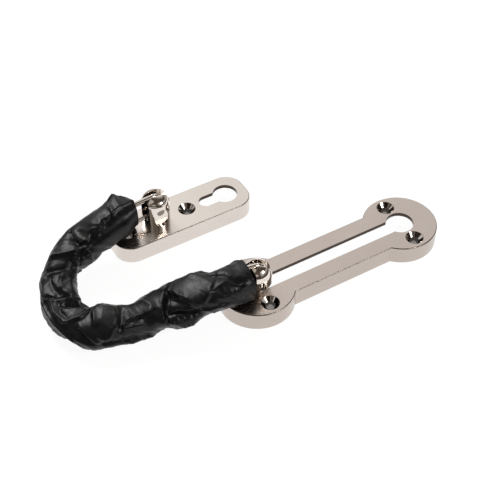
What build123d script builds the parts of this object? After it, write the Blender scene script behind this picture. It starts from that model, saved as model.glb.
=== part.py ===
from build123d import *
from math import copysign, cos, exp, pi, radians, sin, sqrt
import os

# Door chain: a slide plate with a keyhole slot, a slider that runs in it, a welded chain in a soft
# sleeve, and an anchor plate with a slotted post. Both plates lie on their backs, as when unpacked.
# The origin is the middle of the slide plate's back, +X along both plates, +Z away from the door.

# Both plates, millimetres
plate_thickness = 9.4
lip_thickness = 3.0
edge_round = 0.5
screw_hole_diameter = 4.8
countersink_diameter = 8.9

# Slide plate
lobe_diameter = 37.0
lobe_spacing = 83.0
bar_width = 24.6
neck_fillet = 0.4
slot_width = 7.8
keyhole_diameter = 13.8
screw_rows_apart = 24.4

# Anchor plate
anchor_x = -49.0
anchor_y = 63.0
anchor_length = 75.3
anchor_width = 24.5
anchor_corner = 9.4
anchor_screws_apart = 33.0
anchor_screws_offset = -12.4
park_hole_diameter = 12.8
park_hole_offset = 26.2
park_slot_width = 7.4
park_slot_length = 11.1

# Post on the anchor plate
post_diameter = 13.8
post_height = 18.8
post_dome_height = 4.6
post_spigot_diameter = 8.0
spigot_head_depth = 1.4
post_pin_height = 10.5
flat_depth = 1.04
flat_height = 10.8
flat_above_plate = 2.0

# Slider
head_diameter = 14.4
head_height = 11.8
slider_pin_height = 9.8
head_slot_width = 4.8
neck_slot_width = 4.0
head_lift = 3.9
slider_angle = 17.0
slider_link_angle = 10.0
disc_diameter = 11.6
disc_thickness = 2.2
tail_diameter = 5.0
tail_head_diameter = 7.4
tail_head_depth = 1.2

# Chain
wire_diameter = 2.8
link_width = 13.6
link_count = 11
link_pull_angle = 40.0
clevis_slot_width = 4.6
cross_pin_diameter = 4.0
straight_run = 13.0

# Sleeve of thin leatherette over the chain
sleeve_wall = 0.7
sleeve_length = 165.0
sleeve_radius = 9.0
sleeve_sides = 20
sleeve_sections = 56
squareness_above = 2.6
squareness_below = 3.0
deepest_crease = 0.45
crease_into_bore = 0.1
sleeve_stations = [
    # Offsets x and y from the straight line between post and slider, underside z, width, height
    (-11.1, -0.2, 11.4, 11.0, 16.4),
    (-17.7, 3.6, 11.2, 16.6, 16.8),
    (-24.5, 6.8, 10.8, 18.0, 16.8),
    (-33.5, 8.8, 9.8, 17.8, 15.8),
    (-44.0, 10.4, 6.4, 17.8, 15.0),
    (-54.8, 10.5, 3.2, 18.6, 15.0),
    (-62.4, 7.6, 1.0, 18.6, 15.0),
    (-67.4, 3.6, 0.2, 18.2, 15.0),
    (-69.8, -0.2, 0.0, 18.2, 15.2),
    (-71.8, -3.8, 0.0, 18.4, 15.2),
    (-71.8, -7.2, 0.0, 19.0, 15.2),
    (-69.0, -10.4, 0.0, 20.2, 14.8),
    (-63.4, -11.8, 0.0, 21.0, 15.2),
    (-56.5, -11.0, 0.0, 21.4, 16.0),
    (-49.5, -11.0, 0.4, 19.4, 15.2),
    (-42.7, -9.4, 1.8, 20.4, 15.2),
    (-36.0, -7.6, 3.6, 20.8, 15.4),
    (-30.0, -6.6, 5.4, 22.0, 15.6),
    (-24.0, -6.2, 8.0, 21.6, 15.4),
    (-17.8, -5.2, 9.6, 20.4, 15.8),
    (-11.7, -3.2, 9.8, 19.4, 16.4),
    (-5.3, -0.8, 9.8, 18.2, 17.0),
]
sleeve_folds = [
    # Share along and turn round the section at both ends, half width, rise. A turn of 0 faces
    # into the bend, 90 up and 180 out of it.
    (0.02, 88, 0.10, 75, 2.4, 1.1),
    (0.10, 75, 0.19, 64, 2.4, 1.2),
    (0.20, 100, 0.20, 55, 2.0, -0.6),
    (0.25, 130, 0.19, 46, 2.2, 1.3),
    (0.29, 124, 0.25, 52, 2.2, -0.6),
    (0.30, 116, 0.40, 92, 2.6, -0.6),
    (0.31, 66, 0.40, 60, 4.0, 1.4),
    (0.37, 140, 0.42, 68, 2.0, -0.6),
    (0.44, 100, 0.48, 68, 2.2, -0.6),
    (0.32, 140, 0.50, 172, 2.4, 1.3),
    (0.48, 124, 0.54, 60, 2.4, 1.2),
    (0.52, 130, 0.56, 185, 2.0, -0.6),
    (0.55, 60, 0.59, 120, 4.0, 1.4),
    (0.62, 90, 0.61, 130, 2.2, -0.6),
    (0.63, 122, 0.70, 106, 2.4, 1.1),
    (0.58, 166, 0.68, 176, 2.2, 1.2),
    (0.78, 58, 0.72, 160, 2.4, 1.3),
    (0.78, 82, 0.85, 146, 2.2, -0.6),
    (0.74, 150, 0.83, 184, 3.4, 1.7),
    (0.90, 82, 0.97, 140, 2.0, -0.5),
    (0.85, 168, 0.99, 186, 2.2, 1.1),
]

# Clearances
part_gap = 0.1
pin_gap = 0.05
link_play = 0.2
link_slack = 0.75
wall_play = 0.3

# Places that follow from the sizes above
recess_depth = plate_thickness - lip_thickness
neck_diameter = slot_width - 0.8
pin_radius = cross_pin_diameter / 2
wire_radius = wire_diameter / 2
link_inner_half = link_width / 2 - wire_diameter
link_reach = link_inner_half - pin_radius - link_play
link_lift = link_reach * sin(radians(link_pull_angle))
link_past_pin = link_inner_half - link_reach * cos(radians(link_pull_angle))
post_x = anchor_x + anchor_screws_offset - 0.5
post_pin_z = plate_thickness + post_pin_height
slider_x = -lobe_spacing / 2
head_base_z = plate_thickness + head_lift
head_top_z = head_base_z + head_height
head_shoulder_z = head_top_z - head_diameter / 2
post_top_z = plate_thickness + post_height
slider_pin_z = plate_thickness + slider_pin_height
slider_link_z = slider_pin_z - link_lift
toward_chain = Vector(-cos(radians(slider_link_angle)), sin(radians(slider_link_angle)), 0)


def screw_hole(x, y):
    """A countersunk hole through a plate, with its wide end at the face."""
    drill = Cylinder(screw_hole_diameter / 2, plate_thickness * 3)
    sink_depth = (countersink_diameter - screw_hole_diameter) / 2
    cone = Cone(
        screw_hole_diameter / 2,
        countersink_diameter / 2 + 1,
        sink_depth + 1,
        align=(Align.CENTER, Align.CENTER, Align.MIN),
    )
    return Pos(x, y, 0) * drill + Pos(x, y, plate_thickness - sink_depth) * cone


def round_top_edges(plate):
    """The plate with the outer rim of its face eased by the edge round."""
    face_edges = plate.edges().group_by(Axis.Z)[-1]
    return fillet(face_edges, edge_round)


def make_slide_plate():
    """Two round lobes joined by a bar, with a keyhole slot and a wider channel behind it."""
    half = lobe_spacing / 2
    outline = Rectangle(lobe_spacing, bar_width)
    outline += Pos(-half, 0) * Circle(lobe_diameter / 2)
    outline += Pos(half, 0) * Circle(lobe_diameter / 2)
    neck_x = half - sqrt((lobe_diameter / 2) ** 2 - (bar_width / 2) ** 2)
    necks = outline.vertices().filter_by(lambda v: abs(abs(v.X) - neck_x) < 0.01)
    plate = extrude(fillet(necks, neck_fillet), plate_thickness)
    plate = round_top_edges(plate)
    slot = Rectangle(lobe_spacing, slot_width) + Pos(-half, 0) * Circle(slot_width / 2)
    slot += Pos(half, 0) * Circle(keyhole_diameter / 2)
    plate -= extrude(slot, plate_thickness)
    channel = Rectangle(lobe_spacing, keyhole_diameter)
    channel += Pos(-half, 0) * Circle(keyhole_diameter / 2)
    channel += Pos(half, 0) * Circle(keyhole_diameter / 2)
    plate -= extrude(channel, recess_depth)
    for x in (-half, half):
        for y in (-screw_rows_apart / 2, screw_rows_apart / 2):
            plate -= screw_hole(x, y)
    return plate


def make_anchor_plate():
    """A rounded bar with two screw holes, the post's hole and a keyhole to park the slider in."""
    outline = RectangleRounded(anchor_length, anchor_width, anchor_corner)
    plate = round_top_edges(extrude(outline, plate_thickness))
    narrow = Pos(park_hole_offset - park_slot_length / 2, 0) * Rectangle(park_slot_length, park_slot_width)
    narrow += Pos(park_hole_offset - park_slot_length, 0) * Circle(park_slot_width / 2)
    wide = Pos(park_hole_offset, 0) * Circle(park_hole_diameter / 2)
    plate -= extrude(narrow + wide, plate_thickness)
    pocket = Pos(park_hole_offset - park_slot_length / 2, 0)
    pocket *= SlotCenterToCenter(park_slot_length, park_hole_diameter)
    plate -= extrude(pocket, recess_depth)
    for side in (-0.5, 0.5):
        plate -= screw_hole(anchor_screws_offset + side * anchor_screws_apart, 0)
    post_at = post_x - anchor_x
    spigot_hole = post_spigot_diameter / 2 + pin_gap
    plate -= Pos(post_at, 0, plate_thickness / 2) * Cylinder(spigot_hole, plate_thickness)
    sink = Cone(
        spigot_hole + spigot_head_depth,
        spigot_hole,
        spigot_head_depth,
        align=(Align.CENTER, Align.CENTER, Align.MIN),
    )
    plate -= Pos(post_at, 0, 0) * sink
    return Pos(anchor_x, anchor_y, 0) * plate


def domed_barrel(radius, low_z, shoulder_z, top_z):
    """A turned post on the Z axis: a straight side to the shoulder and a dome above it."""
    outline = [
        Line((0, low_z), (radius, low_z)),
        Line((radius, low_z), (radius, shoulder_z)),
        EllipticalCenterArc((0, shoulder_z), radius, top_z - shoulder_z, arc_size=90),
        Line((0, top_z), (0, low_z)),
    ]
    return revolve(Plane.XZ * make_face(outline), Axis.Z)


def clevis_slot(floor_z, top_z, width):
    """The slot across a round post that a chain link stands in, along X."""
    depth = top_z - floor_z
    reach = post_diameter + head_diameter
    block = Box(reach, width, depth + 1, align=(Align.CENTER, Align.CENTER, Align.MIN))
    return Pos(0, 0, floor_z) * block


def side_flats():
    """What the mill takes off the post's two sides to leave an oval flat round each pin end."""
    radius = post_diameter / 2
    flat_width = 2 * sqrt(radius ** 2 - (radius - flat_depth) ** 2)
    middle_z = plate_thickness + flat_above_plate + flat_height / 2
    oval = extrude(Plane.XZ * Ellipse(flat_width / 2, flat_height / 2), radius)
    far = Pos(0, 2 * radius - flat_depth, middle_z) * oval
    near = Pos(0, flat_depth - radius, middle_z) * oval
    return far + near


def post_barrel():
    """The anchor post's outside, with its two milled flats."""
    shoulder_z = post_top_z - post_dome_height
    return domed_barrel(post_diameter / 2, plate_thickness, shoulder_z, post_top_z) - side_flats()


def make_anchor_post():
    """The slotted post with its spigot, which is spread in the countersink behind the plate."""
    floor_z = post_pin_z + link_lift - link_width / 2 - 3 * wall_play
    post = post_barrel() - clevis_slot(floor_z, post_top_z, clevis_slot_width)
    post -= Pos(0, 0, post_pin_z) * Rot(90, 0, 0) * Cylinder(pin_radius + part_gap / 4, post_diameter * 2)
    spigot = Cylinder(
        post_spigot_diameter / 2, plate_thickness, align=(Align.CENTER, Align.CENTER, Align.MIN)
    )
    spread = Cone(
        post_spigot_diameter / 2 + spigot_head_depth - part_gap,
        post_spigot_diameter / 2,
        spigot_head_depth - part_gap,
        align=(Align.CENTER, Align.CENTER, Align.MIN),
    )
    return Pos(post_x, anchor_y, 0) * (post + spigot + spread)


def make_anchor_pin():
    """The pin across the post, ground flush with the milled flats at both ends."""
    pin = Pos(0, 0, post_pin_z) * Rot(90, 0, 0) * Cylinder(pin_radius, post_diameter * 2)
    return Pos(post_x, anchor_y, 0) * (pin & post_barrel())


def slider_place(z=0.0):
    """The slider's place on the slot's axis, turned to face along the chain."""
    return Pos(slider_x, 0, z) * Rot(0, 0, -slider_angle)


def make_slider_head():
    """The domed and slotted head, its neck through the slot and the spread tail below the disc."""
    head = domed_barrel(head_diameter / 2, head_base_z, head_shoulder_z, head_top_z)
    head = fillet(head.edges().group_by(Axis.Z)[0], edge_round)
    head -= clevis_slot(head_base_z - edge_round, head_top_z, head_slot_width)
    head -= Pos(0, 0, slider_pin_z) * Rot(90, 0, 0) * Cylinder(pin_radius + part_gap / 4, head_diameter * 2)
    disc_top_z = recess_depth - part_gap
    neck = Pos(0, 0, disc_top_z + part_gap) * Cylinder(
        neck_diameter / 2,
        head_base_z - disc_top_z - part_gap + edge_round,
        align=(Align.CENTER, Align.CENTER, Align.MIN),
    )
    slot_floor_z = slider_link_z - link_width / 2 - wall_play
    slot = clevis_slot(slot_floor_z, head_base_z + edge_round, neck_slot_width)
    disc_low_z = disc_top_z - disc_thickness
    tail = Pos(0, 0, disc_low_z - part_gap) * Cylinder(
        tail_diameter / 2,
        disc_thickness + 3 * part_gap,
        align=(Align.CENTER, Align.CENTER, Align.MIN),
    )
    tail_head = Pos(0, 0, disc_low_z - part_gap - tail_head_depth) * Cone(
        tail_diameter / 2 + 0.4,
        tail_head_diameter / 2,
        tail_head_depth,
        align=(Align.CENTER, Align.CENTER, Align.MIN),
    )
    return slider_place() * (head + neck - slot + tail + tail_head)


def make_slider_disc():
    """The disc that runs in the channel behind the slot's lips and keeps the slider in."""
    disc = Cylinder(disc_diameter / 2, disc_thickness) - Cylinder(tail_diameter / 2 + pin_gap, disc_thickness)
    disc = chamfer(disc.edges().filter_by(GeomType.CIRCLE).sort_by(SortBy.RADIUS)[-2:], 0.3)
    return Pos(slider_x, 0, recess_depth - part_gap - disc_thickness / 2) * disc


def make_slider_pin():
    """The pin across the slider's head, flush with its round side."""
    pin = Pos(0, 0, slider_pin_z) * Rot(90, 0, 0) * Cylinder(pin_radius, head_diameter * 2)
    barrel = domed_barrel(head_diameter / 2, head_base_z, head_shoulder_z, head_top_z)
    return slider_place() * (pin & barrel)


def station_at(number):
    """One station of the sleeve: its middle x and y, underside, width and height."""
    share = number / (len(sleeve_stations) - 1)
    aside, ahead, underside, width, height = sleeve_stations[number]
    x = post_x * (1 - share) + slider_x * share + aside
    y = anchor_y * (1 - share) + ahead
    return x, y, underside, width, height


def chain_route():
    """The line down the middle of the chain, from past the post's pin round to past the slider's."""
    post_end = Vector(post_x, anchor_y, post_pin_z + link_lift)
    slider_end = Vector(slider_x, 0, slider_link_z)
    past = link_past_pin - link_slack / 2
    points = [post_end + Vector(past, 0, 0)]
    points.append(post_end - Vector(straight_run, 0, link_lift))
    for number in range(3, len(sleeve_stations) - 4):
        x, y, underside, _, height = station_at(number)
        points.append(Vector(x, y, underside + height / 2))
    points.append(slider_end + toward_chain * straight_run)
    points.append(slider_end - toward_chain * past)
    return Edge.make_spline(points)


def link_solid(inner_length):
    """One welded link lying in the XY plane along X: a round wire round an oval."""
    straight = inner_length + wire_diameter - (link_width - wire_diameter)
    oval = SlotCenterToCenter(straight, link_width - wire_diameter).wires()[0]
    start = oval @ 0
    section = Plane(origin=start, z_dir=oval % 0) * Circle(wire_radius)
    return sweep(section, path=oval)


def step_along(points, stride, count):
    """Steps of one length along a fine polyline, and how much of the line is left after them."""
    steps = [points[0]]
    for k in range(1, len(points)):
        near, far = points[k - 1], points[k]
        while len(steps) <= count and (far - steps[-1]).length >= stride:
            low, high = 0.0, 1.0
            for _ in range(40):
                middle = (low + high) / 2
                if (near + (far - near) * middle - steps[-1]).length < stride:
                    low = middle
                else:
                    high = middle
            steps.append(near + (far - near) * high)
            near = steps[-1]
        if len(steps) > count:
            return steps, (points[-1] - steps[-1]).length
    return steps, -1.0


def chain_joints():
    """Where each link takes hold of the next, at equal steps from one end of the route to the other."""
    route = chain_route()
    points = [route.position_at(i / 600) for i in range(601)]
    low = route.length / link_count * 0.8
    high = route.length / link_count
    for _ in range(40):
        stride = (low + high) / 2
        left = step_along(points, stride, link_count)[1]
        if left >= 0:
            low = stride
        else:
            high = stride
    return step_along(points, low, link_count)[0]


def make_links():
    """The links end to end along the route, each turned about a quarter from the one before."""
    joints = chain_joints()
    inner_length = (joints[1] - joints[0]).length + link_slack
    links = []
    for i in range(link_count):
        along = (joints[i + 1] - joints[i]).normalized()
        middle = (joints[i] + joints[i + 1]) / 2
        lean = 45.0 * min(1.0, i / 2.2, (link_count - 1 - i) / 2.2)
        upright = (Vector(0, 0, 1) - along * along.Z).normalized()
        flat_way = upright.cross(along).normalized()
        roll = radians((90.0 if i % 2 == 0 else 0.0) + lean)
        across = flat_way * cos(roll) + upright * sin(roll)
        place = Plane(origin=middle, x_dir=along, z_dir=along.cross(across))
        links.append(place.location * link_solid(inner_length))
    return links


def between_stations(share):
    """The sleeve's middle, underside, width and height at a share of its length."""
    last = len(sleeve_stations) - 1
    i = min(max(int(share * last), 0), last - 1)
    t = share * last - i
    values = []
    for a, b, c, d in zip(station_at(max(i - 1, 0)), station_at(i), station_at(i + 1), station_at(min(i + 2, last))):
        bend = (2 * a - 5 * b + 4 * c - d) * t * t + (3 * b - a - 3 * c + d) * t ** 3
        values.append(b + ((c - a) * t + bend) / 2)
    return values


def fold_rise(share, turn):
    """How far the folds lift the sleeve at a share of its length and a turn round it in degrees."""
    rise = 0.0
    degree = pi / 180 * sleeve_radius
    for share_a, turn_a, share_b, turn_b, half_width, height in sleeve_folds:
        run = (share_b - share_a) * sleeve_length, (turn_b - turn_a) * degree
        away = (share - share_a) * sleeve_length, (turn - turn_a) * degree
        part = (away[0] * run[0] + away[1] * run[1]) / (run[0] ** 2 + run[1] ** 2)
        part = min(max(part, 0.0), 1.0)
        off = (away[0] - part * run[0]) ** 2 + (away[1] - part * run[1]) ** 2
        rise += height * exp(-off / half_width ** 2)
    return rise


def sleeve_section(share, shrink):
    """One cross-section of the sleeve, square to its run: flattened below, rounder above, folded."""
    x, y, underside, width, height = between_stations(share)
    ahead = between_stations(min(share + 0.004, 1.0))
    behind = between_stations(max(share - 0.004, 0.0))
    rise = (ahead[2] + ahead[4] / 2) - (behind[2] + behind[4] / 2)
    along = Vector(ahead[0] - behind[0], ahead[1] - behind[1], rise).normalized()
    across = Vector(0, 0, 1).cross(along).normalized()
    frame = Plane(origin=(x, y, underside + height / 2), x_dir=across, z_dir=along)
    points = []
    for k in range(sleeve_sides):
        turn = 360 * (k + 0.5) / sleeve_sides
        u = cos(radians(turn))
        v = sin(radians(turn))
        power = 2 / (squareness_above if v > 0 else squareness_below)
        deepest = crease_into_bore if shrink > 0 else deepest_crease
        fold = max(fold_rise(share, turn), -deepest)
        x = copysign(abs(u) ** power, u) * (width / 2 - shrink) + u * fold
        y = copysign(abs(v) ** power, v) * (height / 2 - shrink) + v * fold
        points.append(frame.from_local_coords(Vector(x, y, 0)))
    return Wire.make_polygon(points, close=True)


def make_sleeve():
    """The soft tube over the chain, open at both mouths."""
    shares = [i / (sleeve_sections - 1) for i in range(sleeve_sections)]
    outer = Solid.make_loft([sleeve_section(s, 0.0) for s in shares], ruled=True)
    inner = Solid.make_loft([sleeve_section(s, sleeve_wall) for s in shares], ruled=True)
    return outer - inner


def save(node, solid):
    """Writes one piece to its own file."""
    export_step(solid, os.path.join("parts", node + ".step"))


def main():
    os.makedirs("parts", exist_ok=True)
    save("slide_plate", make_slide_plate())
    save("slider_head", make_slider_head())
    save("slider_disc", make_slider_disc())
    save("slider_pin", make_slider_pin())
    for number, link in enumerate(make_links(), start=1):
        save(f"chain_link_{number:02d}", link)
    save("sleeve", make_sleeve())
    save("anchor_plate", make_anchor_plate())
    save("anchor_post", make_anchor_post())
    save("anchor_pin", make_anchor_pin())


main()
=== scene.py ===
"""Looks of a door chain: two satin nickel plates, a domed slider, a slotted post and a chain in a
crumpled black sleeve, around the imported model. Sizes are millimetres and are turned into metres
where they reach a mesh, a lamp or a shader."""

import logging
import math
from dataclasses import dataclass, field
from enum import Enum
from typing import Any

import bpy
import numpy as np
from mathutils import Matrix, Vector

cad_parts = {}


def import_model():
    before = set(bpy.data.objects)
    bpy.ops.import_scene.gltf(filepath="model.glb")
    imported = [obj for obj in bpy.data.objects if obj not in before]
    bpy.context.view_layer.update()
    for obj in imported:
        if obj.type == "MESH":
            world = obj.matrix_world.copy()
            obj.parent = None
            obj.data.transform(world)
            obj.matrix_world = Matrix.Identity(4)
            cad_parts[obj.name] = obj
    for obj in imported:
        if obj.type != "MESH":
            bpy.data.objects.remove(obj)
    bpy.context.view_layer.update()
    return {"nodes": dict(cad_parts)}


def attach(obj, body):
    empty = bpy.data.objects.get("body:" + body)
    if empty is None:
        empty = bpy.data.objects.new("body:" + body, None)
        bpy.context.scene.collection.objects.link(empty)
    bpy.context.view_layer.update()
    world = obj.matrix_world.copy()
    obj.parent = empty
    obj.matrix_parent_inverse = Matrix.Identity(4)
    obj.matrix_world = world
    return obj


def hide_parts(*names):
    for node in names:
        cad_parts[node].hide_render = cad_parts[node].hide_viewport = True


MM = 0.001
LOG = logging.getLogger("door_chain")
Triple = tuple[float, float, float]
WHITE: Triple = (1.0, 1.0, 1.0)
LINK_POINTS = 1200
LINK_SEED = 3


class Maths(Enum):
    """The Math node's operations that the shaders use."""

    ADD = "ADD"
    SUBTRACT = "SUBTRACT"
    MULTIPLY = "MULTIPLY"
    ABOVE = "GREATER_THAN"
    BELOW = "LESS_THAN"
    LOWER = "MINIMUM"
    HIGHER = "MAXIMUM"
    SIZE = "ABSOLUTE"
    SINE = "SINE"
    ANGLE = "ARCTAN2"


class Signal:
    """A shader socket that carries a number, so that Python arithmetic adds its Math nodes."""

    def __init__(self, maker: "Finish", socket: bpy.types.NodeSocket) -> None:
        """Keeps the material's maker and the socket.

        Args:
            maker: the finish whose nodes the arithmetic is added to.
            socket: an output socket that carries a number.
        """
        self.maker = maker
        self.socket = socket

    def _math(self, operation: Maths, first: Any, second: Any = 0.0) -> "Signal":
        """One Math node.

        Args:
            operation: the node's operation.
            first: its first value, a number or a Signal.
            second: its second value, a number or a Signal.

        Returns:
            The node's result.
        """
        settings = {"operation": operation.value}
        node = self.maker.node("ShaderNodeMath", settings, {0: first, 1: second})
        return Signal(self.maker, node.outputs[0])

    def __add__(self, other: Any) -> "Signal":
        """self + other."""
        return self._math(Maths.ADD, self, other)

    def __radd__(self, other: Any) -> "Signal":
        """other + self."""
        return self._math(Maths.ADD, other, self)

    def __sub__(self, other: Any) -> "Signal":
        """self - other."""
        return self._math(Maths.SUBTRACT, self, other)

    def __rsub__(self, other: Any) -> "Signal":
        """other - self."""
        return self._math(Maths.SUBTRACT, other, self)

    def __mul__(self, other: Any) -> "Signal":
        """self * other."""
        return self._math(Maths.MULTIPLY, self, other)

    def __rmul__(self, other: Any) -> "Signal":
        """other * self."""
        return self._math(Maths.MULTIPLY, other, self)

    def above(self, other: Any) -> "Signal":
        """1 where self is greater than other, else 0."""
        return self._math(Maths.ABOVE, self, other)

    def below(self, other: Any) -> "Signal":
        """1 where self is less than other, else 0."""
        return self._math(Maths.BELOW, self, other)

    def size(self) -> "Signal":
        """self without its sign."""
        return self._math(Maths.SIZE, self)

    def sine(self) -> "Signal":
        """The sine of self, in radians."""
        return self._math(Maths.SINE, self)

    def turn_from(self, other: Any) -> "Signal":
        """The angle whose tangent is self / other, in radians."""
        return self._math(Maths.ANGLE, self, other)

    def within(self, low: float, high: float) -> "Signal":
        """1 where self lies between low and high, else 0."""
        return self.above(low) * self.below(high)

    def eased(self, low: float, high: float) -> "Signal":
        """0 below low, 1 above high, and a smooth step between them."""
        values = {"Value": self, "From Min": low, "From Max": high}
        node = self.maker.node("ShaderNodeMapRange", {"interpolation_type": "SMOOTHSTEP"}, values)
        return Signal(self.maker, node.outputs[0])

    def clipped(self) -> "Signal":
        """self held between 0 and 1."""
        return self._math(Maths.LOWER, self._math(Maths.HIGHER, self, 0.0), 1.0)


def opaque(value: Any) -> Any:
    """A plain colour with an alpha of 1, and anything else as it is."""
    return (*value, 1.0) if isinstance(value, tuple) and len(value) == 3 else value


class Finish:
    """A material under construction: its nodes, and the Principled shader that they feed."""

    def __init__(self, name: str) -> None:
        """Starts a material with a Principled shader and Object coordinates.

        Args:
            name: the material's name.
        """
        self.material = bpy.data.materials.new(name)
        self.material.use_nodes = True
        self.tree = self.material.node_tree
        self.tree.nodes.clear()
        self.output = self.node("ShaderNodeOutputMaterial", {}, {})
        self.shader = self.node("ShaderNodeBsdfPrincipled", {}, {})
        self.feed(self.output.inputs["Surface"], self.shader.outputs[0])
        self.place = self.node("ShaderNodeTexCoord", {}, {}).outputs["Object"]

    def axes(self) -> tuple[Signal, Signal, Signal]:
        """The place's three coordinates in metres, as numbers."""
        outputs = self.node("ShaderNodeSeparateXYZ", {}, {0: self.place}).outputs
        return Signal(self, outputs[0]), Signal(self, outputs[1]), Signal(self, outputs[2])

    def node(self, kind: str, settings: dict[str, Any], values: dict[Any, Any]) -> bpy.types.Node:
        """Adds one node.

        Args:
            kind: the node's type.
            settings: its settings, which are set first.
            values: socket name or number to a value, a Signal or an output socket.

        Returns:
            The node.
        """
        node = self.tree.nodes.new(kind)
        for key, value in settings.items():
            setattr(node, key, value)
        for key, value in values.items():
            self.feed(node.inputs[key], value)
        return node

    def feed(self, socket: bpy.types.NodeSocket, value: Any) -> None:
        """Links or sets one input.

        Args:
            socket: the input.
            value: a Signal, an output socket, or a plain value.
        """
        if isinstance(value, Signal):
            self.tree.links.new(value.socket, socket)
        elif isinstance(value, bpy.types.NodeSocket):
            self.tree.links.new(value, socket)
        else:
            socket.default_value = value

    def stretched(self, scale: Triple) -> bpy.types.NodeSocket:
        """Object coordinates, scaled along each axis.

        Args:
            scale: the factor along X, Y and Z.

        Returns:
            The scaled coordinates.
        """
        return self.node("ShaderNodeMapping", {}, {"Vector": self.place, "Scale": scale}).outputs[0]

    def noise(self, coordinates: Any, scale: float, detail: float, rough: float = 0.5) -> Signal:
        """Fractal noise from about 0 to 1.

        Args:
            coordinates: the vector it is read at.
            scale: how many waves to the metre.
            detail: how many octaves.
            rough: how strong each octave is, next to the one before.

        Returns:
            The noise.
        """
        values = {"Vector": coordinates, "Scale": scale, "Detail": detail, "Roughness": rough}
        return Signal(self, self.node("ShaderNodeTexNoise", {}, values).outputs[0])

    def mix(self, share: Any, first: Any, second: Any) -> bpy.types.NodeSocket:
        """A blend of two colours.

        Args:
            share: how much of the second, from 0 to 1.
            first: a colour or a socket.
            second: a colour or a socket.

        Returns:
            The blended colour.
        """
        values = {0: share, 6: opaque(first), 7: opaque(second)}
        return self.node("ShaderNodeMix", {"data_type": "RGBA"}, values).outputs[2]

    def bump(self, height: Signal, depth: float, strength: float, over: Any = None) -> Any:
        """A bump from a height.

        Args:
            height: the height, in units of depth.
            depth: what a height of 1 stands for, in metres.
            strength: the bump's strength.
            over: a normal that it goes on top of.

        Returns:
            The bumped normal.
        """
        values = {"Height": height, "Distance": depth, "Strength": strength}
        if over is not None:
            values["Normal"] = over
        return self.node("ShaderNodeBump", {}, values).outputs[0]

    def dress(self, values: dict[str, Any]) -> bpy.types.Material:
        """Feeds the Principled shader.

        Args:
            values: socket name to value, Signal or socket.

        Returns:
            The finished material.
        """
        for key, value in values.items():
            self.feed(self.shader.inputs[key], opaque(value))
        return self.material


class Sky(Finish):
    """The world's light under construction, read by direction instead of place."""

    def __init__(self, world: bpy.types.World) -> None:
        """Starts from an empty world.

        Args:
            world: the world.
        """
        self.tree = world.node_tree
        self.tree.nodes.clear()
        self.output = self.node("ShaderNodeOutputWorld", {}, {})
        self.place = self.node("ShaderNodeTexCoord", {}, {}).outputs["Generated"]

    def shine(self, colour: bpy.types.NodeSocket) -> None:
        """Sends a colour out as light.

        Args:
            colour: the colour.
        """
        shade = self.node("ShaderNodeBackground", {}, {"Color": colour})
        self.feed(self.output.inputs["Surface"], shade.outputs[0])


@dataclass(frozen=True)
class Keyhole:
    """Where a plate's keyhole slot lies, in millimetres: its middle line, its two ends, how far its
    walls stand from that line, and how thick its lips are. The walls get painted reflected light and
    the lips painted shade."""

    line_y: float
    start: float
    end: float
    reach: float
    lip: float = 2.1


@dataclass(frozen=True)
class ScrewHoles:
    """Where a plate's countersinks lie, in millimetres: half their spacing both ways from a middle."""

    middle_x: float
    middle_y: float
    half_x: float
    half_y: float
    rim: float = 4.45


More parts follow.
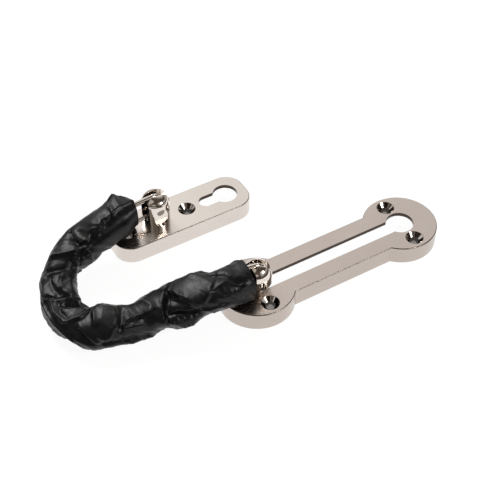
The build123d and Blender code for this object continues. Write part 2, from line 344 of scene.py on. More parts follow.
@dataclass(frozen=True)
class SatinNickel:
    """Nickel plate with a fine brushed grain along X, still smooth enough to mirror softly. A thin
    dark line of painted reflection runs round its face, its countersinks are polished and carry a
    painted reflection in dark and bright sectors over painted shade deeper in the hole, and its
    slot's lips are painted dark as shade over walls painted bright as reflected light. Places and
    widths are in millimetres, depths of bumps in metres."""

    name: str
    keyhole: Keyhole
    holes: ScrewHoles
    colour: Triple = (0.58, 0.51, 0.465)
    shaded: Triple = (0.46, 0.40, 0.36)
    # painted shade and painted dark reflection: the line round the face's edge, the slot's lips and the
    # countersinks' dark sectors
    dark: Triple = (0.06, 0.043, 0.034)
    # painted reflected light on the slot's walls
    pale: Triple = WHITE
    # painted shade in the screw holes below their cones
    hole_shade: Triple = (0.22, 0.205, 0.195)
    # painted highlight: the countersinks' bright sectors
    bright: Triple = (0.90, 0.86, 0.82)
    # the face's height, and the layers under it and over the back where no wall begins
    face_z: float = 9.4
    wall_starts: float = 0.12
    back_layer: float = 0.05
    # the painted dark reflection round the face's edge, as depths under it
    edge_reflection_from: float = 0.34
    edge_reflection_to: float = 0.03
    edge_reflection_strength: float = 0.75
    # a countersink's painted reflection in dark and bright sectors, and the depth and roughness of
    # its cone, below which the hole is painted in shade
    sectors: float = 5.0
    sector_turn: float = 0.6
    sector_edge: float = 0.35
    cone: float = 2.05
    cone_roughness: float = 0.07
    # the brushed lines, the slow clouds over them, and how far both shade and roughen the plate
    roughness: float = 0.27
    grain_roughness: float = 0.10
    cloud_roughness: float = 0.05
    lines_per_metre: float = 9000.0
    line_stretch: float = 0.012
    clouds_per_metre: float = 45.0
    grain_shade: float = 0.7
    cloud_shade: float = 0.6
    shade_offset: float = 0.15
    groove_depth: float = 0.000004
    groove_strength: float = 0.7

    def material(self) -> bpy.types.Material:
        """Builds the material.

        Returns:
            The material.
        """
        finish = Finish(self.name)
        stretched = finish.stretched((self.line_stretch, 1.0, 1.0))
        grain = finish.noise(stretched, self.lines_per_metre, 2.0, 0.6)
        cloud = finish.noise(finish.place, self.clouds_per_metre, 3.0)
        x, y, z = finish.axes()
        slot, holes = self.keyhole, self.holes
        below_face = z.within(self.back_layer * MM, (self.face_z - self.wall_starts) * MM)
        # the slot's walls, which get painted reflected light, and their lips, which get painted shade
        painted_slot_walls = (y - slot.line_y * MM).size().below(slot.reach * MM)
        painted_slot_walls = painted_slot_walls * x.within(slot.start * MM, slot.end * MM) * below_face
        lip = painted_slot_walls * z.above((self.face_z - slot.lip) * MM)
        off_x = (x - holes.middle_x * MM).size() - holes.half_x * MM
        off_y = (y - holes.middle_y * MM).size() - holes.half_y * MM
        in_hole = (off_x * off_x + off_y * off_y).below((holes.rim * MM) ** 2) * below_face
        shade = (grain * self.grain_shade + cloud * self.cloud_shade - self.shade_offset).clipped()
        # a painted dark reflection in a thin band round the face's edge
        line = z.within((self.face_z - self.edge_reflection_from) * MM, (self.face_z - self.edge_reflection_to) * MM)
        colour = finish.mix(shade, self.colour, self.shaded)
        colour = finish.mix(line * self.edge_reflection_strength, colour, self.dark)
        # painted reflected light on the slot's walls, then painted shade on their lips
        colour = finish.mix(painted_slot_walls, colour, self.pale)
        colour = finish.mix(lip, colour, self.dark)
        # the countersinks' painted reflection in dark and bright sectors round the cone, with painted
        # shade in the hole below the cone
        around = (off_x.turn_from(off_y) * self.sectors + self.sector_turn).sine()
        cone = finish.mix(around.eased(-self.sector_edge, self.sector_edge), self.dark, self.bright)
        cone = finish.mix(z.above((self.face_z - self.cone) * MM), self.hole_shade, cone)
        colour = finish.mix(in_hole, colour, cone)
        rough = self.roughness + (grain - 0.5) * self.grain_roughness
        rough = rough + (cloud - 0.5) * self.cloud_roughness
        rough = rough * (1.0 - in_hole) + in_hole * self.cone_roughness
        normal = finish.bump(grain * (1.0 - in_hole), self.groove_depth, self.groove_strength)
        values = {"Base Color": colour, "Metallic": 1.0, "Roughness": rough, "Normal": normal}
        return finish.dress(values)


@dataclass(frozen=True)
class MarkedNickel:
    """Nickel without a grain, with faint marks that shift its roughness and dent it a little. As it
    stands it is the polished plate of the turned parts."""

    name: str = "bright_nickel"
    colour: Triple = (0.74, 0.68, 0.62)
    roughness: float = 0.06
    spread: float = 0.06
    marks_per_metre: float = 260.0
    detail: float = 4.0
    dent_depth: float = 0.00002
    dent_strength: float = 0.25

    def material(self) -> bpy.types.Material:
        """Builds the material.

        Returns:
            The material.
        """
        finish = Finish(self.name)
        marks = finish.noise(finish.place, self.marks_per_metre, self.detail, 0.6)
        rough = self.roughness + (marks - 0.5) * self.spread
        normal = finish.bump(marks, self.dent_depth, self.dent_strength)
        values = {"Base Color": self.colour, "Metallic": 1.0, "Roughness": rough, "Normal": normal}
        return finish.dress(values)


@dataclass(frozen=True)
class Leatherette:
    """Thin black coated cloth with a fine pebble grain and a soft sheen."""

    colour: Triple = (0.0016, 0.0016, 0.0018)
    worn: Triple = (0.006, 0.006, 0.0064)
    roughness: float = 0.35
    specular: float = 0.27
    crease_roughness: float = 0.3
    grain_per_metre: float = 1700.0
    grain_depth: float = 0.00006
    grain_strength: float = 0.4
    creases_per_metre: float = 300.0
    crease_depth: float = 0.0006
    crease_strength: float = 0.2
    wear_gain: float = 1.6
    wear_offset: float = 0.4

    def material(self) -> bpy.types.Material:
        """Builds the material.

        Returns:
            The material.
        """
        finish = Finish("black_leatherette")
        grain = finish.noise(finish.place, self.grain_per_metre, 3.0, 0.55)
        crease = finish.noise(finish.place, self.creases_per_metre, 4.0, 0.6)
        wear = (crease * self.wear_gain - self.wear_offset).clipped()
        colour = finish.mix(wear, self.colour, self.worn)
        rough = self.roughness + (crease - 0.5) * self.crease_roughness
        normal = finish.bump(grain, self.grain_depth, self.grain_strength)
        normal = finish.bump(crease, self.crease_depth, self.crease_strength, normal)
        values = {"Base Color": colour, "Roughness": rough, "Normal": normal}
        return finish.dress({**values, "Specular IOR Level": self.specular})


def grid_mesh(name: str, points: np.ndarray, faces: np.ndarray) -> bpy.types.Object:
    """Makes a smoothly shaded mesh object from arrays.

    Args:
        name: the object's name.
        points: n by 3, in millimetres.
        faces: m by 4, indices into points, anticlockwise seen from outside.

    Returns:
        The object, at the origin.
    """
    mesh = bpy.data.meshes.new(name)
    mesh.from_pydata((points * MM).tolist(), [], faces.tolist())
    mesh.polygons.foreach_set("use_smooth", np.full(len(faces), True))
    mesh.update()
    thing = bpy.data.objects.new(name, mesh)
    bpy.context.scene.collection.objects.link(thing)
    return thing


def sampled(thing: bpy.types.Object, count: int, draw: np.random.Generator) -> np.ndarray:
    """Random points on an object's surface: a triangle is drawn by its area, and a point in it as
    a + u (b - a) + v (c - a), with u and v folded so that u + v stays under 1.

    Args:
        thing: the object.
        count: how many points.
        draw: the random numbers.

    Returns:
        count by 3, in millimetres.
    """
    mesh = thing.data
    mesh.calc_loop_triangles()
    points = np.empty(len(mesh.vertices) * 3)
    mesh.vertices.foreach_get("co", points)
    corners = np.empty(len(mesh.loop_triangles) * 3, dtype=int)
    mesh.loop_triangles.foreach_get("vertices", corners)
    turned = np.array(thing.matrix_world)
    points = (points.reshape(-1, 3) @ turned[:3, :3].T + turned[:3, 3]) / MM
    a, b, c = (points[corners[i::3]] for i in range(3))
    area = np.linalg.norm(np.cross(b - a, c - a), axis=1)
    pick = draw.choice(len(area), count, p=area / area.sum())
    u, v = draw.random(count), draw.random(count)
    over = u + v > 1
    u, v = np.where(over, 1 - u, u)[:, None], np.where(over, 1 - v, v)[:, None]
    return a[pick] + u * (b - a)[pick] + v * (c - a)[pick]


def catmull(controls: np.ndarray, places: np.ndarray) -> np.ndarray:
    """A smooth curve through control rows: between rows i and i+1, the cubic that leaves each row
    along the line between its two neighbours.

    Args:
        controls: k by c.
        places: where to read it, from 0 to k - 1.

    Returns:
        n by c values.
    """
    last = len(controls) - 1
    i = np.clip(places.astype(int), 0, last - 1)
    t = (places - i)[:, None]
    a, b = controls[np.maximum(i - 1, 0)], controls[i]
    c, d = controls[i + 1], controls[np.minimum(i + 2, last)]
    square, cube = 2 * a - 5 * b + 4 * c - d, 3 * b - a - 3 * c + d
    return b + 0.5 * ((c - a) * t + square * t**2 + cube * t**3)


def unit(vectors: np.ndarray) -> np.ndarray:
    """Rows scaled to length 1.

    Args:
        vectors: n by 3.

    Returns:
        n by 3.
    """
    return vectors / np.maximum(np.linalg.norm(vectors, axis=-1, keepdims=True), 1e-12)


@dataclass(frozen=True)
class Fold:
    """One fold, crease or bulge of the sleeve, named for the reader. It runs along a path of (share
    along the sleeve, turn round it in degrees: 0 faces into the bend, 90 up, 180 out of it), rises by
    some millimetres, and falls away within a soft width on the left of the path and a steep width on
    the right."""

    name: str
    path: tuple[tuple[float, float], ...]
    rise: float
    soft: float
    steep: float


FOLDS = (
    Fold("flap by the post", ((0.04, 126), (0.085, 128)), 2.8, 4.0, 4.0),
    Fold("flap edge", ((0.094, 86), (0.077, 106)), 0.9, 2.6, 0.8),
    Fold("seam, by the post",
         ((0.017, 88), (0.064, 82), (0.094, 76), (0.117, 74), (0.13, 80), (0.14, 64)),
         1.1, 3.4, 0.7),
    Fold("seam, on",
         ((0.14, 64), (0.147, 62), (0.154, 74), (0.164, 74), (0.171, 68), (0.181, 64), (0.191, 70)),
         1.1, 3.0, 0.7),
    Fold("patch", ((0.147, 88), (0.14, 74)), 0.45, 1.0, 0.6),
    Fold("pinch pit", ((0.201, 86), (0.197, 68)), -1.3, 1.9, 1.9),
    Fold("pinch line", ((0.191, 118), (0.197, 92), (0.201, 70)), -0.9, 1.1, 1.1),
    Fold("by the pinch", ((0.184, 68), (0.191, 86), (0.187, 106)), 0.7, 1.8, 0.9),
    Fold("below the pinch", ((0.211, 80), (0.201, 70), (0.194, 52)), 0.6, 0.8, 0.6),
    Fold("ridge a", ((0.194, 46), (0.204, 58), (0.224, 76), (0.244, 94), (0.254, 118)), 1.3, 2.6, 0.6),
    Fold("upright fold dark", ((0.211, 52), (0.237, 20)), -1.3, 1.5, 1.5),
    Fold("upright fold light", ((0.227, 52), (0.254, 38)), 0.8, 0.8, 0.6),
    Fold("upright fold right", ((0.197, 10), (0.204, -14)), 0.8, 0.8, 0.7),
    Fold("upright fold top", ((0.197, 22), (0.194, 44)), 0.6, 0.9, 0.6),
    Fold("crease b",
         ((0.294, 122), (0.291, 100), (0.284, 86), (0.274, 68), (0.251, 62)),
         -0.9, 0.9, 0.9),
    Fold("ridge b", ((0.304, 116), (0.298, 94), (0.294, 80)), 0.8, 1.8, 0.6),
    Fold("spot b", ((0.298, 82), (0.321, 80)), 0.5, 0.8, 0.8),
    Fold("hollow", ((0.311, 106), (0.344, 100), (0.391, 94)), -1.2, 3.0, 3.0),
    Fold("hollow ridge", ((0.365, 92), (0.341, 94), (0.324, 98)), 0.9, 1.1, 0.6),
    Fold("outer rim",
         ((0.318, 130), (0.344, 136), (0.378, 146), (0.418, 148),
          (0.448, 146), (0.475, 154), (0.502, 164), (0.515, 172)),
         1.3, 2.2, 1.0),
    Fold("oval", ((0.328, 58), (0.388, 64)), 1.5, 4.2, 4.2),
    Fold("oval rim",
         ((0.435, 40), (0.431, 62), (0.405, 76), (0.381, 86), (0.344, 86), (0.314, 80)),
         0.8, 1.6, 0.5),
    Fold("crease c", ((0.375, 136), (0.401, 104), (0.411, 80)), -1.0, 0.8, 0.8),
    Fold("ridge c", ((0.391, 136), (0.411, 104), (0.425, 82)), 0.8, 1.4, 0.5),
    Fold("lip", ((0.492, 68), (0.458, 62), (0.431, 76), (0.428, 88), (0.438, 98)), 0.9, 1.2, 0.5),
    Fold("slit", ((0.448, 92), (0.465, 82), (0.478, 68)), -1.4, 0.9, 0.9),
    Fold("under the slit", ((0.452, 98), (0.475, 86), (0.502, 74)), 0.6, 1.8, 0.6),
    Fold("bright crease",
         ((0.532, 80), (0.522, 88), (0.512, 98), (0.502, 106), (0.492, 122)),
         1.3, 2.4, 0.5),
    Fold("c fold", ((0.411, 116), (0.441, 124), (0.472, 122)), 0.7, 1.6, 0.8),
    Fold("c fold dark", ((0.425, 98), (0.455, 110), (0.478, 112)), -0.7, 1.1, 1.1),
    Fold("flap dark", ((0.522, 130), (0.535, 146), (0.552, 172)), -1.1, 0.9, 0.9),
    Fold("flap light", ((0.559, 166), (0.545, 146), (0.525, 124)), 0.9, 2.2, 0.6),
    Fold("flap body", ((0.525, 164), (0.545, 178)), 1.5, 3.4, 3.4),
    Fold("panel", ((0.572, 98), (0.585, 130)), 1.2, 5.5, 5.5),
    Fold("panel top", ((0.562, 68), (0.609, 86)), 1.5, 3.4, 3.4),
    Fold("panel left", ((0.555, 112), (0.552, 94), (0.545, 82)), 0.9, 1.4, 0.5),
    Fold("panel wrinkle a", ((0.609, 94), (0.609, 106), (0.602, 122)), 0.6, 0.7, 0.6),
    Fold("panel wrinkle b", ((0.575, 158), (0.565, 148)), 0.8, 1.2, 0.6),
    Fold("panel corner", ((0.605, 130), (0.592, 134), (0.582, 152)), 0.8, 2.0, 0.6),
    Fold("notch", ((0.622, 88), (0.619, 110), (0.615, 128)), -1.7, 1.9, 1.9),
    Fold("ray a", ((0.702, 106), (0.669, 106), (0.639, 112), (0.622, 128)), 1.0, 1.6, 0.8),
    Fold("ray b", ((0.625, 136), (0.649, 136), (0.672, 134)), 0.8, 1.6, 0.8),
    Fold("ray dark", ((0.629, 122), (0.649, 118), (0.672, 116)), -0.6, 0.9, 0.9),
    Fold("lump a", ((0.696, 76), (0.712, 94)), 1.2, 3.0, 3.0),
    Fold("lump b", ((0.649, 128), (0.666, 136)), 0.7, 2.2, 2.2),
    Fold("lump c", ((0.699, 118), (0.712, 136)), 1.2, 3.0, 3.0),
    Fold("lower edge dark", ((0.569, 172), (0.599, 176), (0.656, 178), (0.676, 182)), -1.0, 0.8, 0.8),
    Fold("lower edge", ((0.572, 178), (0.605, 182), (0.656, 188)), 0.9, 1.6, 0.7),
    Fold("upright ridge",
         ((0.773, 68), (0.756, 86), (0.742, 98), (0.732, 122), (0.726, 152)),
         1.4, 2.2, 0.5),
    Fold("upright dark", ((0.763, 92), (0.749, 116), (0.732, 152)), -1.2, 1.4, 1.4),
    Fold("short line", ((0.789, 98), (0.783, 88), (0.773, 86)), 0.7, 1.4, 0.5),
    Fold("tongue",
         ((0.883, 116), (0.873, 130), (0.86, 142), (0.849, 146),
          (0.839, 134), (0.823, 116), (0.796, 100)),
         1.4, 4.0, 0.6),
    Fold("under the tongue", ((0.773, 104), (0.806, 128), (0.836, 152)), -0.6, 2.0, 2.0),
    Fold("sheen fold", ((0.923, 104), (0.903, 112), (0.883, 124)), 0.9, 3.0, 2.2),
    Fold("crease d", ((0.893, 80), (0.91, 86), (0.926, 94), (0.94, 110), (0.957, 130)), -1.1, 1.0, 1.0),
    Fold("wrinkle e", ((0.957, 134), (0.97, 134)), 0.45, 0.6, 0.6),
    Fold("wrinkle f", ((0.96, 146), (0.973, 146)), 0.45, 0.6, 0.6),
    Fold("hem", ((0.846, 170), (0.87, 176), (0.893, 178), (0.926, 182), (0.973, 194)), 0.9, 1.6, 0.6),
    Fold("pocket", ((0.749, 140), (0.779, 148), (0.813, 160), (0.839, 170)), -1.7, 1.3, 1.3),
    Fold("crumple", ((0.742, 164), (0.779, 190), (0.826, 182)), 2.0, 3.6, 3.0),
    Fold("crumple a", ((0.763, 152), (0.769, 176)), 0.6, 0.6, 0.6),
    Fold("crumple b", ((0.786, 160), (0.786, 182)), 0.7, 0.6, 0.6),
    Fold("crumple c", ((0.809, 166), (0.806, 184)), 0.6, 0.6, 0.6),
    Fold("peak by the slider", ((0.955, 52), (0.975, 52)), 1.8, 3.6, 3.6),
    Fold("far notch", ((0.875, 52), (0.885, 50)), -0.9, 2.2, 2.2),
    Fold("far shoulder", ((0.84, 52), (0.845, 52)), 1.0, 3.4, 3.4),
)


@dataclass
class Sleeve:
    """The crumpled sleeve over the chain: a tube whose section is a squared round, carried along
    its run and pushed in and out by folds. Lengths are in millimetres and turns in degrees."""

    wall: float = 0.6
    squareness_above: float = 2.6
    squareness_below: float = 3.0
    rings: int = 330
    spokes: int = 140
    radius: float = 9.0
    link_clearance: float = 0.3
    link_search: float = 26.0
    ring_step: int = 4
    fold_height: float = 1.25
    fold_falloff: float = 1.12
    crumple_above: float = 0.11
    crumple_below: float = 0.75
    crumple_sizes: tuple[float, ...] = (11.0, 7.0, 4.6, 3.1, 2.1)
    crumple_turns: tuple[int, ...] = (-5, -4, -3, 3, 4, 5)
    crumple_bend: float = 1.7
    crumple_seed: int = 11
    patch_length: float = 3.7
    largest_crumple: float = 9.0
    smooth_share: float = 0.17
    smooth_turn: float = 190.0
    smooth_reach: float = 62.0
    sag: float = 0.1
    outline_reach: float = 34.0
    flat_width: float = 56.0
    flat_length: float = 172.0
    outline: np.ndarray = field(
        default_factory=lambda: np.array(
            [
                # share of the length, then turn and rise on the outer side, then on the inner side
                (0.000, 123, -1.9, -51, -3.9),
                (0.021, 126, -1.4, -49, -2.4),
                (0.043, 126, -1.8, -46, -1.0),
                (0.064, 129, 0.2, -42, 0.0),
                (0.085, 129, -2.3, -41, 0.0),
                (0.106, 134, -1.5, -39, 0.0),
                (0.128, 139, -0.3, -39, 0.3),
                (0.149, 139, 0.5, -39, 0.3),
                (0.170, 141, 1.2, -36, -0.7),
                (0.191, 144, 1.9, -36, 0.0),
                (0.213, 147, 1.2, -33, -0.9),
                (0.234, 149, 0.0, -28, -2.5),
                (0.255, 149, -0.8, -23, -4.2),
                (0.277, 159, -0.9, -21, -3.0),
                (0.298, 165, -0.3, -15, -1.2),
                (0.319, 162, 0.1, -10, -0.7),
                (0.340, 175, -0.9, 3, -0.6),
                (0.362, 188, 0.2, 12, -0.7),
                (0.383, 187, 0.6, 11, -1.1),
                (0.404, 186, 0.8, 11, -0.6),
                (0.426, 195, 0.3, 20, -0.7),
                (0.447, 198, -0.2, 21, -0.9),
                (0.468, 203, -0.6, 26, -1.9),
                (0.489, 206, -1.8, 28, -2.3),
                (0.511, 206, -2.6, 33, -1.5),
                (0.532, 206, -0.7, 38, -0.7),
                (0.553, 204, -0.6, 50, 0.0),
                (0.574, 210, -1.4, 49, 0.5),
                (0.596, 213, -1.4, 41, -0.3),
                (0.617, 213, -1.0, 41, -2.3),
                (0.638, 211, -0.5, 36, -2.4),
                (0.660, 211, -0.8, 36, -0.9),
                (0.681, 213, -1.0, 36, -0.1),
                (0.702, 209, -3.1, 36, 0.1),
                (0.723, 213, -3.7, 36, 0.5),
                (0.745, 208, -0.6, 36, 0.3),
                (0.766, 203, -0.3, 38, 0.5),
                (0.809, 198, -0.3, 38, 0.5),
                (0.830, 203, -1.6, 43, 0.5),
                (0.851, 208, -2.4, 43, 0.5),
                (0.872, 213, -1.4, 31, 0.9),
                (0.894, 213, -0.9, 31, -1.2),
                (0.915, 213, -0.7, 38, -1.7),
                (0.936, 213, 0.0, 44, -1.8),
                (0.957, 213, 0.0, 49, -2.6),
                (0.979, 211, 0.0, 49, -1.4),
                (1.000, 218, 0.0, 44, -1.0),
            ]
        )
    )
    stations: np.ndarray = field(
        default_factory=lambda: np.array(
            [
                # middle x, middle y, underside z, width, height
                (-73.00, 62.80, 11.4, 11.0, 16.4),
                (-78.63, 63.60, 11.2, 16.6, 16.8),
                (-84.46, 63.80, 10.8, 18.0, 16.8),
                (-92.49, 62.80, 9.8, 17.8, 15.8),
                (-102.01, 61.40, 6.4, 17.8, 15.0),
                (-111.84, 58.50, 3.2, 18.6, 15.0),
                (-118.47, 52.60, 1.0, 18.6, 15.0),
                (-122.50, 45.60, 0.2, 18.2, 15.0),
                (-123.93, 38.80, 0.0, 18.2, 15.2),
                (-124.96, 32.20, 0.0, 18.4, 15.2),
                (-123.99, 25.80, 0.0, 19.0, 15.2),
                (-120.21, 19.60, 0.0, 20.2, 14.8),
                (-113.64, 15.20, 0.0, 21.0, 15.2),
                (-105.77, 13.00, 0.0, 21.4, 16.0),
                (-97.80, 10.00, 0.4, 19.4, 15.2),
                (-90.03, 8.60, 1.8, 20.4, 15.2),
                (-82.36, 7.40, 3.6, 20.8, 15.4),
                (-75.39, 5.40, 5.4, 22.0, 15.6),
                (-68.41, 2.80, 8.0, 21.6, 15.4),
                (-61.24, 0.80, 9.6, 20.4, 15.8),
                (-54.17, -0.20, 9.8, 19.4, 16.4),
                (-46.80, -0.80, 9.8, 18.2, 17.0),
            ]
        )
    )

    def frames(self, share: np.ndarray) -> tuple[np.ndarray, ...]:
        """Where the tube's middle is, which way it runs, and how wide and high it is.

        Args:
            share: places along it, from 0 at the post's mouth to 1 at the slider's.

        Returns:
            middle, along, across and up, each n by 3, then width and height, each n.
        """
        places = share * (len(self.stations) - 1)
        rows = catmull(self.stations, places)
        middle = np.c_[rows[:, :2], rows[:, 2] + rows[:, 4] / 2]
        along = unit(np.gradient(middle, axis=0))
        across = unit(np.cross([0.0, 0.0, 1.0], along))
        return middle, along, across, np.cross(along, across), rows[:, 3], rows[:, 4]

    def fold_field(self, share: np.ndarray, run: np.ndarray, turn: np.ndarray) -> np.ndarray:
        """How far the folds lift each point. Each fold adds rise * exp(-(d / w)^falloff), where d is
        the distance over the surface to its path and w its width on that side.

        Args:
            share: each ring's share of the length.
            run: each ring's distance along the tube, in millimetres.
            turn: each spoke's turn, in degrees.

        Returns:
            rings by spokes, in millimetres.
        """
        per_degree = math.radians(1.0) * self.radius
        total = np.zeros((len(share), len(turn)))
        for fold in FOLDS:
            path = np.array(fold.path)
            path = np.c_[np.interp(path[:, 0], share, run), path[:, 1]]
            near = np.full(total.shape, 1e9)
            side = np.zeros(total.shape)
            for (x0, t0), (x1, t1) in zip(path[:-1], path[1:]):
                step = np.array([x1 - x0, (t1 - t0) * per_degree])
                away_x = np.broadcast_to((run - x0)[:, None], total.shape)
                around = (turn - t0 + 180.0) % 360.0 - 180.0
                away_y = np.broadcast_to((around * per_degree)[None, :], total.shape)
                part = (away_x * step[0] + away_y * step[1]) / max(float(step @ step), 1e-9)
                part = np.clip(part, 0.0, 1.0)
                off_x, off_y = away_x - part * step[0], away_y - part * step[1]
                distance = np.hypot(off_x, off_y)
                closer = distance < near
                near = np.where(closer, distance, near)
                side = np.where(closer, step[0] * off_y - step[1] * off_x, side)
            width = np.where(side > 0, fold.soft, fold.steep)
            total += fold.rise * np.exp(-((near / width) ** self.fold_falloff))
        return total

    def outline_field(self, share: np.ndarray, turn: np.ndarray) -> np.ndarray:
        """How far the sleeve's two outlines, as the camera sees them, stand out from the plain tube:
        rise * exp(-(a / reach)^2), where a is the turn away from the outline.

        Args:
            share: each ring's share of the length.
            turn: each spoke's turn, in degrees.

        Returns:
            rings by spokes, in millimetres.
        """
        total = np.zeros((len(share), len(turn)))
        for side in (1, 3):
            centre = np.interp(share, self.outline[:, 0], self.outline[:, side])[:, None]
            rise = np.interp(share, self.outline[:, 0], self.outline[:, side + 1])[:, None]
            away = (turn[None, :] - centre + 180.0) % 360.0 - 180.0
            total += rise * np.exp(-((away / self.outline_reach) ** 2))
        return total

    def room(self, plain: np.ndarray, links: np.ndarray) -> np.ndarray:
        """How far each point of the plain tube may sink before its wall meets a link: the distance to
        the nearest link point, less the wall and the clearance. It is worked out on a few of the rings
        and every other spoke, and the rest lie on straight lines between those.

        Args:
            plain: rings by spokes by 3, the plain tube's outer face.
            links: n by 3, points on the links.

        Returns:
            rings by spokes, in millimetres.
        """
        coarse = plain[:: self.ring_step, ::2]
        gap = np.empty(coarse.shape[:2])
        for row, ring in enumerate(coarse):
            near = links[np.linalg.norm(links - ring.mean(axis=0), axis=1) < self.link_search]
            away = np.linalg.norm(ring[:, None, :] - near[None, :, :], axis=2)
            gap[row] = away.min(axis=1)
        rings = np.arange(plain.shape[0]) / self.ring_step
        low = np.minimum(rings.astype(int), len(gap) - 2)
        gap = gap[low] + (gap[low + 1] - gap[low]) * np.minimum(rings - low, 1.0)[:, None]
        gap = np.stack([gap, (gap + np.roll(gap, -1, axis=1)) / 2], axis=-1).reshape(plain.shape[:2])
        return np.maximum(gap - self.wall - self.link_clearance, 0.0)

    def crumples(self, run: np.ndarray, turn: np.ndarray) -> np.ndarray:
        """Fine random creases: sets of waves in random directions, each bent by the one before and
        folded to sharp ridges, 1 - 2 |sin|, that fade in and out in patches.

        Args:
            run: each ring's distance along the tube, in millimetres.
            turn: each spoke's turn, in degrees.

        Returns:
            rings by spokes, from about -1 to 1.
        """
        draw = np.random.default_rng(self.crumple_seed)
        x = run[:, None] * np.ones(len(turn))
        angle = np.radians(turn)[None, :] * np.ones((len(run), 1))
        total = np.zeros_like(x)
        bend = np.zeros_like(x)
        for size in self.crumple_sizes:
            around = draw.choice(self.crumple_turns)
            phase = draw.uniform(0, 2 * np.pi, 2)
            wave = 2 * np.pi * x / size + around * angle + phase[0] + self.crumple_bend * bend
            bend = np.sin(wave)
            patch = 2 * np.pi * x / (self.patch_length * size) + (around + 1) * angle + phase[1]
            fade = 0.5 + 0.5 * np.sin(patch)
            total += (1 - 2 * np.abs(bend)) * fade * size / self.largest_crumple
        return total / 2.0

    def crumple_depth(self, share: np.ndarray, turn: np.ndarray) -> np.ndarray:
        """How deep the crumples are: shallow above and deep below, by the sine of the turn, and none
        on the smooth panel by the post, 1 - exp(-(share / s)^4 - (away / r)^4).

        Args:
            share: each ring's share of the length.
            turn: each spoke's turn, in degrees.

        Returns:
            rings by spokes, in millimetres.
        """
        below = 0.5 - 0.5 * np.sin(np.radians(turn))
        away = ((turn + 180) % 360 - self.smooth_turn) / self.smooth_reach
        smooth = np.exp(-((share[:, None] / self.smooth_share) ** 4) - away**4)
        deep = self.crumple_above + (self.crumple_below - self.crumple_above) * below
        return deep * (1 - smooth)

    def face(self, frames: tuple[np.ndarray, ...], inset: float, lift: np.ndarray) -> np.ndarray:
        """One face of the tube: around each ring a superellipse, u = sign(cos t) |cos t|^(2/n) w/2
        across and the same with sin t and h/2 upwards, then moved along (cos t, sin t) by the lift.

        Args:
            frames: what the method of that name gives.
            inset: how far inside the outer face it lies, in millimetres.
            lift: rings by spokes, how far each point is moved, in millimetres.

        Returns:
            rings by spokes by 3.
        """
        middle, _, across, up, width, height = frames
        around = np.radians(self.turns())
        power = 2 / np.where(np.sin(around) > 0, self.squareness_above, self.squareness_below)
        u = np.sign(np.cos(around)) * np.abs(np.cos(around)) ** power
        v = np.sign(np.sin(around)) * np.abs(np.sin(around)) ** power
        flat = (width / 2 - inset)[:, None] * u + lift * np.cos(around)
        tall = (height / 2 - inset)[:, None] * v + lift * np.sin(around)
        tall = np.maximum(tall, -(height / 2 - inset + self.sag)[:, None])
        across_part = flat[..., None] * across[:, None, :]
        return middle[:, None, :] + across_part + tall[..., None] * up[:, None, :]

    def turns(self) -> np.ndarray:
        """Each spoke's turn, in degrees."""
        return 360.0 * np.arange(self.spokes) / self.spokes

    def surfaces(self, links: np.ndarray) -> tuple[np.ndarray, np.ndarray]:
        """The tube's two faces as grids, lifted by the folds, the outline and the crumples, and sunk
        no further than the links leave room.

        Args:
            links: n by 3, points on the links, in millimetres.

        Returns:
            The outer and the inner face, each rings by spokes by 3.
        """
        share, turn = np.linspace(0, 1, self.rings), self.turns()
        frames = self.frames(share)
        run = np.r_[0.0, np.cumsum(np.linalg.norm(np.diff(frames[0], axis=0), axis=1))]
        lift = self.fold_height * self.fold_field(share, run, turn) + self.outline_field(share, turn)
        lift += self.crumple_depth(share, turn) * self.crumples(run, turn)
        lift = np.maximum(lift, -self.room(self.face(frames, 0.0, np.zeros_like(lift)), links))
        return self.face(frames, 0.0, lift), self.face(frames, self.wall, lift)

    def build(self, material: bpy.types.Material, links: np.ndarray) -> bpy.types.Object:
        """Ring i's point on spoke k has the number i * spokes + k, and the inner face's points follow
        the outer's in the same order. Quads join neighbours on each face, and a rim joins the two
        faces at each mouth.

        Args:
            material: the leatherette.
            links: n by 3, points on the links, in millimetres.

        Returns:
            The sleeve.
        """
        outer, inner = self.surfaces(links)
        points = np.concatenate([outer.reshape(-1, 3), inner.reshape(-1, 3)])
        ring = np.arange(self.rings - 1)[:, None] * self.spokes
        k = np.arange(self.spokes)
        nxt = (k + 1) % self.spokes
        wall = np.stack([ring + k, ring + nxt, ring + self.spokes + nxt, ring + self.spokes + k], -1)
        wall = wall.reshape(-1, 4)
        shift = self.rings * self.spokes
        lining = wall[:, ::-1] + shift
        end = (self.rings - 1) * self.spokes
        first = np.stack([k + shift, nxt + shift, nxt, k], -1)
        second = np.stack([end + k, end + nxt, end + nxt + shift, end + k + shift], -1)
        thing = grid_mesh("crumpled_sleeve", points, np.concatenate([wall, lining, first, second]))
        thing.data.materials.append(material)
        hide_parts("sleeve")
        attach(thing, "chain")
        return thing


@dataclass
class Hardware:
    """The plates, the post, the slider, the pins and the links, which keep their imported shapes."""

    nodes: dict[str, bpy.types.Object]
    special: dict[str, bpy.types.Material]
    bright: bpy.types.Material

    def build(self) -> None:
        """Dresses every metal piece and reports it."""
        metal = {name: thing for name, thing in self.nodes.items() if name != "sleeve"}
        for name, thing in metal.items():
            material = self.special.get(name, self.bright)
            thing.data.materials.clear()
            thing.data.materials.append(material)
            LOG.info("%s dressed in %s", name, material.name)


@dataclass(frozen=True)
class Lamp:
    """One soft square lamp: where it hangs, what it points at and its side, in millimetres, and its
    power in watts."""

    name: str
    at: Triple
    aim: Triple
    size: float
    power: float

    def hang(self) -> None:
        """Adds the lamp to the scene."""
        data = bpy.data.lights.new(self.name, "AREA")
        data.shape = "SQUARE"
        data.size = self.size * MM
        data.energy = self.power
        thing = bpy.data.objects.new(self.name, data)
        thing.location = Vector(self.at) * MM
        thing.rotation_mode = "QUATERNION"
        thing.rotation_quaternion = (Vector(self.aim) - Vector(self.at)).to_track_quat("-Z", "Y")
        bpy.context.scene.collection.objects.link(thing)


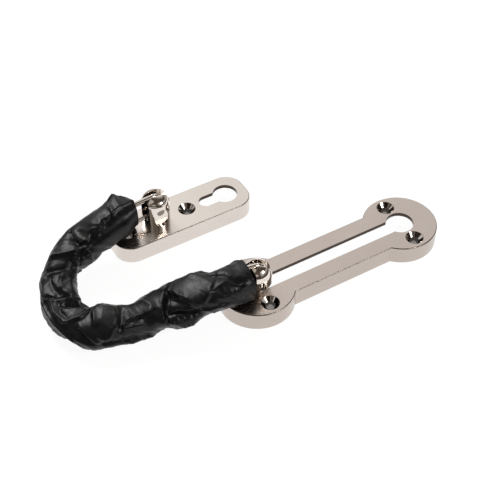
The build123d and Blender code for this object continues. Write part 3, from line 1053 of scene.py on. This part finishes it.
@dataclass
class Studio:
    """The pale floor, the soft lamps and the camera. Places and sizes are in millimetres, and the
    pairs are where a smooth step starts and ends, as shares of a direction of length 1."""

    camera_at: Triple = (-214.28, -283.94, 377.91)
    camera_looks_at: Triple = (-27.676, 29.547, 0.0)
    lens: float = 75.96
    sensor: float = 36.0
    clip: tuple[float, float] = (0.01, 50.0)
    floor_half: float = 6000.0
    floor_level: float = -0.15
    floor_shade: float = 0.92
    floor_roughness: float = 0.9
    floor_seen: float = 0.8
    floor_mirrored: float = 0.85
    floor_white: float = 1.15
    glow_toward: Triple = (0.40, 0.60, 0.69)
    glow_edge: tuple[float, float] = (0.74, 0.98)
    low_height: tuple[float, float] = (0.12, 0.45)
    low_side: tuple[float, float] = (-0.35, 0.25)
    patch_scale: float = 1.7
    patch_edge: tuple[float, float] = (0.44, 0.58)
    dim: Triple = (0.52, 0.51, 0.49)
    gloom: Triple = (0.085, 0.066, 0.052)
    glow: Triple = (1.0, 0.99, 0.98)
    low: Triple = (0.06, 0.045, 0.035)
    lamps: tuple[Lamp, ...] = (
        Lamp("key_softbox", (-160.0, 520.0, 520.0), (-60.0, 30.0, 0.0), size=260.0, power=2.2),
        Lamp("front_softbox", (260.0, -460.0, 420.0), (-40.0, 30.0, 0.0), size=160.0, power=1.6),
    )

    def floor(self) -> None:
        """Lays a wide pale floor, which shows nearly white and keeps a faint shadow."""
        edge = self.floor_half
        corners = np.array([(-edge, -edge), (edge, -edge), (edge, edge), (-edge, edge)])
        points = np.c_[corners, np.full(4, self.floor_level)]
        thing = grid_mesh("floor", points, np.array([[0, 1, 2, 3]]))
        finish = Finish("floor")
        finish.dress({"Base Color": (self.floor_shade,) * 3, "Roughness": self.floor_roughness})
        path = finish.node("ShaderNodeLightPath", {}, {})
        seen = Signal(finish, path.outputs["Is Camera Ray"]) * self.floor_seen
        seen = seen + Signal(finish, path.outputs["Is Glossy Ray"]) * self.floor_mirrored
        values = {"Color": opaque(WHITE), "Strength": self.floor_white}
        white = finish.node("ShaderNodeEmission", {}, values)
        parts = {0: seen, 1: finish.shader.outputs[0], 2: white.outputs[0]}
        blend = finish.node("ShaderNodeMixShader", {}, parts)
        finish.feed(finish.output.inputs["Surface"], blend.outputs[0])
        thing.data.materials.append(finish.material)

    def light(self) -> None:
        """Fills the room with soft light: dim all round, bright in one wide patch behind the object,
        and dark brown low down on the camera's side, where polished metal picks it up."""
        world = bpy.data.worlds.new("studio")
        bpy.context.scene.world = world
        world.use_nodes = True
        sky = Sky(world)
        x, y, z = sky.axes()
        toward = x * self.glow_toward[0] + y * self.glow_toward[1] + z * self.glow_toward[2]
        glow = toward.eased(*self.glow_edge)
        low = (1.0 - z.eased(*self.low_height)) * (1.0 - y.eased(*self.low_side))
        patches = sky.noise(sky.place, self.patch_scale, 1.0).eased(*self.patch_edge)
        shade = sky.mix(glow, sky.mix(patches, self.gloom, self.dim), self.glow)
        shade = sky.mix(low, shade, self.low)
        seen = sky.node("ShaderNodeLightPath", {}, {}).outputs["Is Camera Ray"]
        shade = sky.mix(seen, shade, WHITE)
        sky.shine(shade)
        for lamp in self.lamps:
            lamp.hang()

    def camera(self) -> None:
        """Sets up the camera where the photograph was taken from."""
        data = bpy.data.cameras.new("camera")
        data.lens = self.lens
        data.sensor_width = self.sensor
        data.clip_start, data.clip_end = self.clip
        thing = bpy.data.objects.new("camera", data)
        thing.location = Vector(self.camera_at) * MM
        thing.rotation_mode = "QUATERNION"
        look = Vector(self.camera_looks_at) - Vector(self.camera_at)
        thing.rotation_quaternion = look.to_track_quat("-Z", "Y")
        bpy.context.scene.collection.objects.link(thing)
        bpy.context.scene.camera = thing

    def build(self) -> None:
        """Makes the floor, the lamps and the camera."""
        self.floor()
        self.light()
        self.camera()


def main() -> None:
    """Builds the scene in order and reports each piece."""
    logging.basicConfig(level=logging.INFO, format="%(name)s: %(message)s")
    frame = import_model()
    scene = bpy.context.scene
    scene.view_settings.view_transform = "Standard"
    Studio().build()
    LOG.info("studio ready")
    slide = SatinNickel(
        name="satin_slide",
        keyhole=Keyhole(line_y=0.0, start=-36.0, end=52.0, reach=7.4),
        holes=ScrewHoles(middle_x=0.0, middle_y=0.0, half_x=41.5, half_y=12.2),
    )
    anchor = SatinNickel(
        name="satin_anchor",
        keyhole=Keyhole(line_y=63.0, start=-40.0, end=-12.5, reach=7.4),
        holes=ScrewHoles(middle_x=-61.4, middle_y=63.0, half_x=16.5, half_y=0.0),
        # lighter than the slide plate's colours, though both plates are the same nickel: painted light
        # for the brighter light that the anchor plate catches
        colour=(0.74, 0.68, 0.63),
        shaded=(0.63, 0.575, 0.53),
    )
    cut_end = MarkedNickel(
        name="cut_pin",
        colour=(0.30, 0.27, 0.245),
        roughness=0.42,
        spread=0.2,
        marks_per_metre=1400.0,
        detail=3.0,
        dent_depth=0.00008,
        dent_strength=0.6,
    )
    special = {
        "slide_plate": slide.material(),
        "anchor_plate": anchor.material(),
        "anchor_pin": cut_end.material(),
    }
    metal = Hardware(frame["nodes"], special, MarkedNickel().material())
    metal.build()
    links = [thing for name, thing in sorted(frame["nodes"].items()) if name.startswith("chain_link")]
    draw = np.random.default_rng(LINK_SEED)
    points = np.concatenate([sampled(thing, LINK_POINTS, draw) for thing in links])
    sleeve = Sleeve().build(Leatherette().material(), points)
    LOG.info("%s has %d faces", sleeve.name, len(sleeve.data.polygons))


if __name__ == "__main__":
    main()
